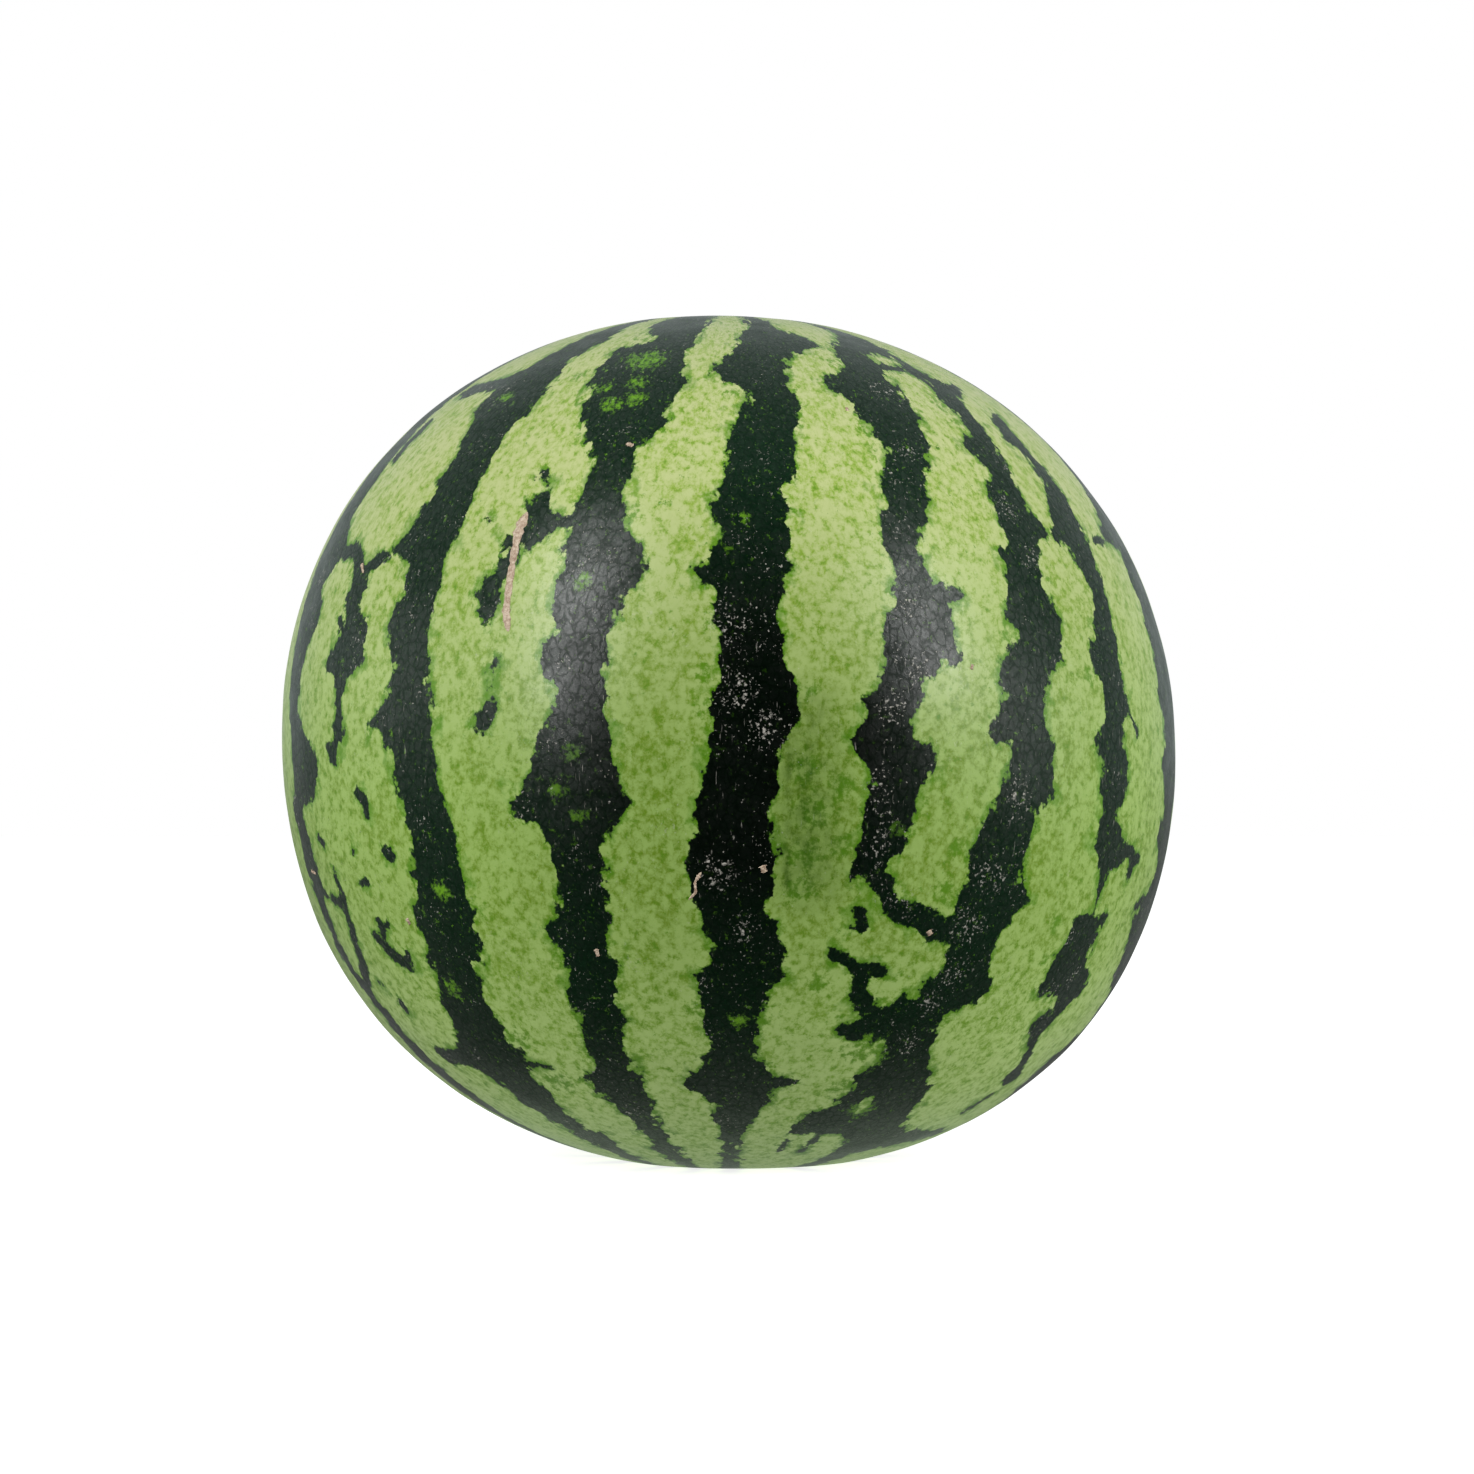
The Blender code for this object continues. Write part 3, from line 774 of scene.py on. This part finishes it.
def light_rind(tree, place, height, wandered, edge):
    """Pale green, finely mottled, with hairline veins, dark flecks and a deeper green border."""
    pale = tone(tree, height, FOOT_PALE, BASE_PALE, CROWN_PALE)
    green = tone(tree, height, FOOT_GREEN, BASE_GREEN, CROWN_GREEN)
    region = add(tree, "TexNoise", sized(place, REGION_MM, Detail=3.0, Roughness=0.6))
    region = add(tree, "MapRange", {0: region, 1: 0.36, 2: 0.64, 3: -0.035, 4: 0.035})
    mottle = add(tree, "TexNoise", sized(place, MOTTLE_MM, Detail=5.0, Roughness=0.68))
    level = add(tree, "Math", {0: mottle, 1: region}, operation="ADD")
    mottled = mottled_share(tree, wandered, level)
    colour = add(tree, "Mix", {0: mottled, 6: pale, 7: green}, data_type="RGBA")
    deep = deep_share(tree, place, edge, mottle, region)
    return add(tree, "Mix", {0: deep, 6: colour, 7: linear(DEEP_GREEN)}, data_type="RGBA")


def dark_rind(tree, place, height, edge):
    """Near-black green with a faint grain, flecked bright green where the moss patches are."""
    low, high = DARK_BASE_TO_MIDDLE
    base = add(tree, "MapRange", {0: height, 1: high, 2: low}, interpolation_type="SMOOTHSTEP")
    ground = add(tree, "Mix", {0: base, 6: linear(DARK_GREEN), 7: linear(DARK_BASE)}, data_type="RGBA")
    grain = add(tree, "TexNoise", sized(place, DARK_GRAIN_MM, Detail=4.0, Roughness=0.75))
    grain = add(tree, "MapRange", {0: grain, 1: 0.44, 2: 0.70}, interpolation_type="SMOOTHSTEP")
    colour = add(tree, "Mix", {0: grain, 6: ground, 7: linear(DARK_GRAIN)}, data_type="RGBA")
    moss = stored(tree, "moss")
    fleck = add(tree, "TexNoise", sized(place, MOSS_MM, Detail=5.0, Roughness=0.7))
    level = add(tree, "Math", {0: moss, 1: 0.21, 2: fleck}, operation="MULTIPLY_ADD")
    near_edge = add(tree, "MapRange", {0: edge, 1: -0.9, 2: 0.0, 4: 0.12})
    shade = add(tree, "Math", {0: level, 1: near_edge}, operation="ADD")
    shade = add(tree, "MapRange", {0: shade, 1: 0.60, 2: 0.74, 4: 0.8}, interpolation_type="SMOOTHSTEP")
    colour = add(tree, "Mix", {0: shade, 6: colour, 7: linear(MOSS_SHADE)}, data_type="RGBA")
    share = add(tree, "MapRange", {0: level, 1: 0.60, 2: 0.80, 4: 0.9})
    return add(tree, "Mix", {0: share, 6: colour, 7: linear(MOSS_GREEN)}, data_type="RGBA")


def scuffs(tree, place, light_share):
    """Clustered pale corky rubs about 1 mm across, among faint finer specks."""
    crowd = add(tree, "TexNoise", sized(place, SCUFF_CROWD_MM, Detail=3.0, Roughness=0.6))
    crowd = add(tree, "MapRange", {0: crowd, 1: 0.46, 2: 0.70, 4: 0.8}, interpolation_type="SMOOTHSTEP")
    crowd = add(tree, "Math", {0: crowd, 1: stored(tree, "scuffed")}, operation="MAXIMUM")
    specks = add(tree, "TexNoise", sized(place, SPECK_MM, Detail=1.0))
    specks = add(tree, "Math", {0: crowd, 1: 0.15, 2: specks}, operation="MULTIPLY_ADD")
    specks = add(tree, "MapRange", {0: specks, 1: 0.745, 2: 0.88, 4: 0.6})
    rubs = add(tree, "TexNoise", sized(place, RUB_MM, Detail=3.0, Roughness=0.6))
    rubs = add(tree, "Math", {0: crowd, 1: 0.12, 2: rubs}, operation="MULTIPLY_ADD")
    rubs = add(tree, "MapRange", {0: rubs, 1: 0.725, 2: 0.85, 4: 0.85})
    turned = add(tree, "Mapping", {0: place, 2: (0.5, 0.35, 0.2), 3: (2.6, 2.6, 0.3)})
    lines = add(tree, "TexNoise", sized(turned, SCRATCH_MM, Detail=2.0, Roughness=0.6))
    lines = add(tree, "MapRange", {0: lines, 1: 0.68, 2: 0.78, 4: 0.4})
    share = add(tree, "Math", {0: specks, 1: rubs}, operation="MAXIMUM")
    share = add(tree, "Math", {0: share, 1: lines}, operation="MAXIMUM")
    kept = add(tree, "MapRange", {0: light_share, 3: 0.85, 4: 0.30})
    return add(tree, "Math", {0: share, 1: kept}, operation="MULTIPLY")


def cracked_wax(tree, place, wandered, light_share):
    """Where the wax is whole, from 0 in its fine cracks and pores to 1. Plainest in the dark rind."""
    cells = add(tree, "TexVoronoi", sized(wandered, LEATHER_MM), feature="DISTANCE_TO_EDGE")
    worn = add(tree, "TexNoise", sized(place, WORN_MM, Detail=4.0, Roughness=0.7))
    cells = add(tree, "Math", {0: worn, 1: 0.5, 2: cells}, operation="MULTIPLY_ADD")
    whole = add(tree, "MapRange", {0: cells, 1: 0.22, 2: 0.44}, interpolation_type="SMOOTHSTEP")
    least = add(tree, "MapRange", {0: light_share, 3: 0.10, 4: 0.75})
    whole = add(tree, "MapRange", {0: whole, 3: least, 4: 1.0})
    pores = add(tree, "TexNoise", sized(place, PORE_MM, Detail=4.0, Roughness=0.75))
    pores = add(tree, "MapRange", {0: pores, 1: 0.36, 2: 0.64, 3: 0.35, 4: 1.0})
    return add(tree, "Math", {0: whole, 1: pores}, operation="MULTIPLY")


def leather_relief(tree, place, whole, scuff):
    """The wax's fine cracks, grain and scuffs as a shallow relief."""
    grain = add(tree, "TexNoise", sized(place, RELIEF_MM, Detail=3.0, Roughness=0.6))
    cracks = add(tree, "Math", {0: whole, 1: CRACK_DEPTH_MM}, operation="MULTIPLY")
    height = add(tree, "Math", {0: grain, 1: GRAIN_DEPTH_MM, 2: cracks}, operation="MULTIPLY_ADD")
    height = add(tree, "Math", {0: scuff, 1: SCUFF_HEIGHT_MM, 2: height}, operation="MULTIPLY_ADD")
    return add(tree, "Bump", {"Height": height, "Distance": MM, "Strength": 1.0})


def paint_front_shade(tree, colour, light_share):
    """Paints shade on the middle of the front: darkens its colour, most of all on its dark stripes."""
    strength = add(tree, "MapRange", {0: light_share, 3: 0.9, 4: 0.24})
    strength = add(tree, "Math", {0: stored(tree, "painted_front_shade"), 1: strength}, operation="MULTIPLY")
    both = {0: strength, 6: colour, 7: linear(PAINTED_SHADE_GREEN)}
    return add(tree, "Mix", both, data_type="RGBA", blend_type="MULTIPLY")


def smeared(tree, colour, place):
    """Stains the rind olive where the smear and its halo are."""
    smear = add(tree, "TexNoise", sized(place, SMEAR_MM, Detail=4.0, Roughness=0.65))
    smear = add(tree, "MapRange", {0: smear, 1: 0.3, 2: 0.65, 3: 0.4, 4: 1.0})
    strength = add(tree, "Math", {0: stored(tree, "stain"), 1: smear}, operation="MULTIPLY")
    both = {0: strength, 6: colour, 7: linear(STAIN_OLIVE)}
    return add(tree, "Mix", both, data_type="RGBA", blend_type="MULTIPLY")


def wax_roughness(tree, place):
    """The wax is a little rougher in some places than in others."""
    rough = add(tree, "TexNoise", sized(place, WAX_MM, Detail=3.0))
    return add(tree, "MapRange", {0: rough, 1: 0.3, 2: 0.7, 3: WAX_SMOOTHEST, 4: WAX_ROUGHEST})


def wax_gloss(tree, whole):
    """Whole wax is glossy. Its cracks, and the middle of the front where shade is painted, are less so."""
    gloss = add(tree, "MapRange", {0: whole, 3: CRACK_GLOSS, 4: WAX_GLOSS})
    kept = add(tree, "MapRange", {0: stored(tree, "painted_front_shade"), 3: 1.0, 4: SHADED_MIDDLE_GLOSS_KEPT})
    return add(tree, "Math", {0: gloss, 1: kept}, operation="MULTIPLY")


def waxed_rind():
    """Watermelon rind: a hard waxy skin. Soft broad gloss over mottled pale and near-black green."""
    material, tree, shader = new_material("waxed_rind")
    place = places_in_mm(tree)
    height = add(tree, "SeparateXYZ", {0: place}).node.outputs["Z"]
    grown = stored(tree, "grown_mm", "Vector")
    drawn_out = add(tree, "Mapping", {0: grown, 3: (1.0, 1.0, 0.8)})
    wandered = wandering(tree, drawn_out, WANDER_MM, WANDER_REACH_MM)
    edge = stripe_edge(tree, grown, wandered)
    light_share = add(tree, "MapRange", {0: edge, 1: -0.22, 2: 0.34}, interpolation_type="SMOOTHSTEP")
    light = light_rind(tree, grown, height, wandered, edge)
    dark = dark_rind(tree, grown, height, edge)
    colour = add(tree, "Mix", {0: light_share, 6: dark, 7: light}, data_type="RGBA")
    # painted shade on the middle of the front, then the olive smear
    colour = smeared(tree, paint_front_shade(tree, colour, light_share), drawn_out)
    scuff = scuffs(tree, place, light_share)
    colour = add(tree, "Mix", {0: scuff, 6: colour, 7: linear(SCUFF_CORK)}, data_type="RGBA")
    whole = cracked_wax(tree, place, wandered, light_share)
    rough, gloss = wax_roughness(tree, place), wax_gloss(tree, whole)
    relief = leather_relief(tree, place, whole, scuff)
    give(tree, shader, {"IOR": WAX_IOR, "Specular IOR Level": MEAN_GLOSS})
    give(tree, shader, {"Base Color": colour, "Roughness": rough, "Normal": relief})
    give(tree, shader, {"Specular IOR Level": gloss})
    return material


def dry_tissue(name, size_mm, detail, spread, dark, pale, roughness, depth_mm):
    """Dry plant tissue: two tones and a relief from one grain."""
    material, tree, shader = new_material(name)
    place = places_in_mm(tree)
    grain = add(tree, "TexNoise", sized(place, size_mm, Detail=detail, Roughness=0.7))
    share = add(tree, "MapRange", {0: grain, 1: 0.5 - spread, 2: 0.5 + spread})
    colour = add(tree, "Mix", {0: share, 6: linear(dark), 7: linear(pale)}, data_type="RGBA")
    relief = add(tree, "Bump", {"Height": grain, "Distance": depth_mm * MM})
    give(tree, shader, {"Base Color": colour, "Roughness": roughness, "Normal": relief})
    return material


def healed_cork():
    """Corky scar tissue grown over a scratch: dry, pinkish tan, in fine cross ribs."""
    look = CORK_DARK, CORK_PALE, CORK_ROUGHNESS, CORK_DEPTH_MM
    return dry_tissue("healed_cork", CORK_MM, 4.0, 0.14, *look)


def dry_stem():
    """Dried stem tissue: matt brown fibres with darker gaps."""
    look = STEM_DARK, STEM_PALE, STEM_ROUGHNESS, FIBRE_DEPTH_MM
    return dry_tissue("dry_stem", FIBRE_MM, 5.0, 0.16, *look)


def paper_glow(tree, back, near, seen, mirrored):
    """How strongly the paper glows: evenly to the camera, less in the rind's mirror image of it."""
    front, behind = PAPER_LIT_FROM
    lit = add(tree, "MapRange", {0: back, 1: front, 2: behind, 3: PAPER_GLOW_FRONT, 4: PAPER_GLOW})
    front, behind = PAPER_MIRRORED_FROM
    shown = {0: back, 1: front, 2: behind, 3: PAPER_MIRRORED_FRONT, 4: PAPER_MIRRORED}
    shown = add(tree, "MapRange", shown)
    under = add(tree, "Math", {0: near, 1: PAPER_MIRRORED_UNDER}, operation="MULTIPLY")
    shown = add(tree, "Math", {0: shown, 1: under}, operation="MAXIMUM")
    glow = add(tree, "Mix", {0: mirrored, 2: lit, 3: shown}, data_type="FLOAT")
    return add(tree, "Mix", {0: seen, 2: glow, 3: PAPER_GLOW_SEEN}, data_type="FLOAT")


def studio_paper():
    """Matte white paper on a light table. It is white to the camera, and lights the fruit from behind."""
    material, tree, shader = new_material("studio_paper")
    ray = tree.nodes.new("ShaderNodeLightPath").outputs
    seen, mirrored = ray["Is Camera Ray"], ray["Is Glossy Ray"]
    place = tree.nodes.new("ShaderNodeTexCoord").outputs["Object"]
    back = add(tree, "SeparateXYZ", {0: place}).node.outputs["Y"]
    from_fruit = add(tree, "VectorMath", {0: place}, operation="LENGTH")
    inner, outer = PAPER_UNDER_FRUIT
    near = add(tree, "MapRange", {0: from_fruit, 1: inner, 2: outer, 3: 1.0, 4: 0.0})
    near = add(tree, "Math", {0: near, 1: mirrored}, operation="MULTIPLY")
    paper = add(tree, "Mix", {0: seen, 6: linear(PAPER_UNSEEN), 7: linear(PAPER)}, data_type="RGBA")
    # painted bounce light: near the fruit, in the rind's mirror image, the glow turns green
    tint = add(tree, "Mix", {0: near, 6: linear(WHITE), 7: linear(PAPER_PAINTED_BOUNCE)}, data_type="RGBA")
    glow = paper_glow(tree, back, near, seen, mirrored)
    give(tree, shader, {"Base Color": paper, "Roughness": PAPER_ROUGHNESS})
    give(tree, shader, {"Emission Color": tint, "Emission Strength": glow})
    return material


# ---------------------------------------------------------------- pieces


def piece(name, shape, material):
    """Makes an object of a finished shape."""
    mesh = bpy.data.meshes.new(name)
    shape.to_mesh(mesh)
    shape.free()
    mesh.materials.append(material)
    mesh.shade_smooth()
    made = bpy.data.objects.new(name, mesh)
    bpy.context.scene.collection.objects.link(made)
    return made


def make_rind():
    """The rind with its stripes. Returns a tree that finds places on it."""
    ball = ball_of_squares()
    latitude, longitude = shape_rind(ball)
    fit_to_part(ball)
    bmesh.ops.recalc_face_normals(ball, faces=ball.faces[:])
    tree = BVHTree.FromBMesh(ball)
    rind = piece("rind", ball, waxed_rind())
    draw_stripes(rind.data, latitude, longitude)
    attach(rind, "root")
    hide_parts("watermelon")
    return tree


def seat(tree, latitude, longitude, rise=0.0):
    """The place on the finished rind at these angles, and the way outwards."""
    middle = Vector((0.0, 0.0, WIDEST_LEVEL))
    outward = (surface_point(latitude, longitude) - middle).normalized()
    return tree.ray_cast(middle, outward)[0] + outward * rise, outward


def bead_along(tree, path, half_width, rise):
    """A closed ribbed bead of corky tissue that lies along a path on the rind."""
    bead = bmesh.new()
    bmesh.ops.create_uvsphere(bead, u_segments=BEAD_SIDES, v_segments=BEAD_STEPS, radius=1.0)
    stops = np.linspace(0.0, 1.0, len(path))
    latitudes, longitudes = zip(*path)
    for point in bead.verts:
        share = 0.5 + 0.5 * point.co.z
        here, ahead = (
            (np.interp(at, stops, latitudes), np.interp(at, stops, longitudes))
            for at in (share - 0.01, share + 0.01)
        )
        start, outward = seat(tree, *here)
        end, _ = seat(tree, *ahead)
        sideways = (end - start).cross(outward).normalized()
        at_tip = abs(point.co.z) >= 0.999
        round_it = Vector((0, 0)) if at_tip else Vector((point.co.x, point.co.y)).normalized()
        taper = min(1.0, 2.2 * math.sqrt(max(0.0, 1.0 - abs(point.co.z))))
        knot = math.exp(-(((share - 0.14) / 0.1) ** 2))
        wobble = 0.5 * noise.noise(Vector((share * 9.0, path[0][0], 0.0))) + knot
        rib = 1.0 + 0.55 * noise.noise(Vector((share * BEAD_STEPS / BEAD_RIB_STEPS, path[0][1], 5.0)))
        width = half_width * taper * (1.0 + 0.45 * wobble) * rib
        lift = rise * taper * (rib - 0.15)
        point.co = (start + end) / 2 + sideways * (round_it.x * width) + outward * (round_it.y * lift)
    return bead


def make_corky_marks(tree):
    """The long corky scratch and the small corky marks, in one piece."""
    marks = bmesh.new()
    for path, half_width, rise in CORKY_MARKS:
        bead = bead_along(tree, path, half_width * MM, rise * MM)
        shape = bpy.data.meshes.new("bead")
        bead.to_mesh(shape)
        bead.free()
        marks.from_mesh(shape)
    bmesh.ops.recalc_face_normals(marks, faces=marks.faces[:])
    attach(piece("corky_marks", marks, healed_cork()), "root")


def make_scar(tree, name, pole, radius, rise, material):
    """A round scar of dry tissue on a pole of the rind: a callus ring round a fibrous middle."""
    scar = bmesh.new()
    bmesh.ops.create_uvsphere(scar, u_segments=SCAR_SIDES, v_segments=SCAR_RINGS, radius=1.0)
    degrees = math.degrees(radius / WIDEST_LEVEL)
    for point in scar.verts:
        reach = min(1.0, math.hypot(point.co.x, point.co.y))
        turn = math.degrees(math.atan2(point.co.x, point.co.y))
        uneven = noise.noise(Vector((point.co.x * 1.6, point.co.y * 1.6, pole)))
        fibres = noise.noise(Vector((turn / 7.0, reach * 1.5, pole)))
        ring = math.exp(-(((reach - 0.74) / 0.15) ** 2))
        lift = rise * (0.45 + 0.55 * ring + 0.22 * fibres * (1.0 - ring)) * (1.0 - reach**10)
        lift = lift if point.co.z > 0 else -0.6 * rise * (1.0 - reach**4)
        away = degrees * reach * (1.0 + 0.16 * uneven)
        point.co = seat(tree, pole - math.copysign(away, pole), turn, lift)[0]
    bmesh.ops.recalc_face_normals(scar, faces=scar.faces[:])
    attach(piece(name, scar, material), "root")


# ---------------------------------------------------------------- studio

WHITE = "ffffff"
CAMERA_DISTANCE = 0.92
CAMERA_LENS_MM = 100.0
CAMERA_SENSOR_MM = 36.0
CAMERA_RIGHT = 0.0019
CAMERA_ABOVE_WIDEST = 0.0011
FLOOR_RADIUS = 3.0

# The dome of light: bright behind the fruit, dark behind the camera
DOME_LIGHT = 0.62
DOME_DARK = 0.0
DOME_DARK_FROM = -0.8
DOME_DARK_TO = 0.75
DOME_TINT = "ecf6f6"

# The paper: how it glows to the camera, to the rind and in its mirror image, and from front to back
PAPER = "f2f2f0"
PAPER_UNSEEN = "303030"
PAPER_ROUGHNESS = 0.9
PAPER_GLOW_SEEN = 0.8
PAPER_GLOW = 0.6
PAPER_GLOW_FRONT = 0.42
PAPER_LIT_FROM = (-0.10, 0.08)
PAPER_MIRRORED = 0.22
PAPER_MIRRORED_FRONT = 0.0
PAPER_MIRRORED_FROM = (-0.085, -0.01)
PAPER_MIRRORED_UNDER = 0.42
# painted bounce light: the green of the paper's glow under the fruit, as the rind mirrors it
PAPER_PAINTED_BOUNCE = "ecffe8"
PAPER_UNDER_FRUIT = (0.05, 0.095)

# Soft panels: name, azimuth, elevation, width, height, watts, and whether the rind mirrors it
SOFTBOX_DISTANCE = 1.2
SOFTBOXES = [
    ("left_softbox", -42, 27, 0.26, 1.0, 12.5, True),
    ("right_softbox", 55, 24, 0.28, 0.75, 9.2, True),
    ("right_fill", 88, 0, 1.0, 0.5, 4.1, False),
    ("right_edge", 76, 5, 0.6, 0.5, 1.4, True),
    ("left_fill", -84, 10, 1.0, 0.5, 1.4, True),
]


def set_camera():
    """A long lens, level with the widest ring."""
    data = bpy.data.cameras.new("camera")
    data.lens = CAMERA_LENS_MM
    data.sensor_width = CAMERA_SENSOR_MM
    camera = bpy.data.objects.new("camera", data)
    camera.location = (CAMERA_RIGHT, -CAMERA_DISTANCE, WIDEST_LEVEL + CAMERA_ABOVE_WIDEST)
    camera.rotation_euler = (math.radians(90), 0, 0)
    bpy.context.scene.collection.objects.link(camera)
    bpy.context.scene.camera = camera


def softbox(name, azimuth, elevation, width, height, watts, mirrored):
    """A soft panel that faces the fruit. Azimuth 0 is the camera's side and runs to the right."""
    data = bpy.data.lights.new(name, "AREA")
    data.shape = "RECTANGLE"
    data.size = width
    data.size_y = height
    data.energy = watts
    azimuth, elevation = math.radians(azimuth), math.radians(elevation)
    across = math.cos(elevation)
    outward = Vector((across * math.sin(azimuth), -across * math.cos(azimuth), math.sin(elevation)))
    lamp = bpy.data.objects.new(name, data)
    lamp.location = outward * SOFTBOX_DISTANCE + Vector((0, 0, WIDEST_LEVEL))
    lamp.rotation_euler = (-outward).to_track_quat("-Z", "Y").to_euler()
    lamp.visible_glossy = mirrored
    bpy.context.scene.collection.objects.link(lamp)


def studio_floor():
    """A wide round sheet of white paper."""
    sheet = bmesh.new()
    bmesh.ops.create_circle(sheet, cap_ends=True, segments=96, radius=FLOOR_RADIUS)
    paper = piece("studio_paper", sheet, studio_paper())


def white_dome():
    """A pale dome of light all round, which falls off to dark behind the camera."""
    world = bpy.data.worlds.new("white_dome")
    world.use_nodes = True
    tree = world.node_tree
    looking = tree.nodes.new("ShaderNodeTexCoord").outputs["Generated"]
    towards_camera = add(tree, "VectorMath", {0: looking, 1: (0.0, -1.0, 0.0)}, operation="DOT_PRODUCT")
    falloff = {0: towards_camera, 1: DOME_DARK_FROM, 2: DOME_DARK_TO, 3: DOME_LIGHT, 4: DOME_DARK}
    glow = add(tree, "MapRange", falloff)
    seen = tree.nodes.new("ShaderNodeLightPath").outputs["Is Camera Ray"]
    strength = add(tree, "Math", {0: seen, 1: glow}, operation="MAXIMUM")
    tint = add(tree, "Mix", {0: seen, 6: linear(DOME_TINT), 7: linear(WHITE)}, data_type="RGBA")
    give(tree, tree.nodes["Background"], {"Color": tint, "Strength": strength})
    bpy.context.scene.world = world


def light_studio():
    """The soft panels and the dome."""
    for panel in SOFTBOXES:
        softbox(*panel)
    white_dome()
    bpy.context.scene.view_settings.view_transform = "Standard"


on_rind = make_rind()
make_corky_marks(on_rind)
make_scar(on_rind, "stem_scar", 90.0, STEM_SCAR_RADIUS, STEM_SCAR_RISE, dry_stem())
make_scar(on_rind, "blossom_scar", -90.0, BLOSSOM_SCAR_RADIUS, BLOSSOM_SCAR_RISE, dry_stem())
set_camera()
light_studio()
studio_floor()

bpy.context.view_layer.update()
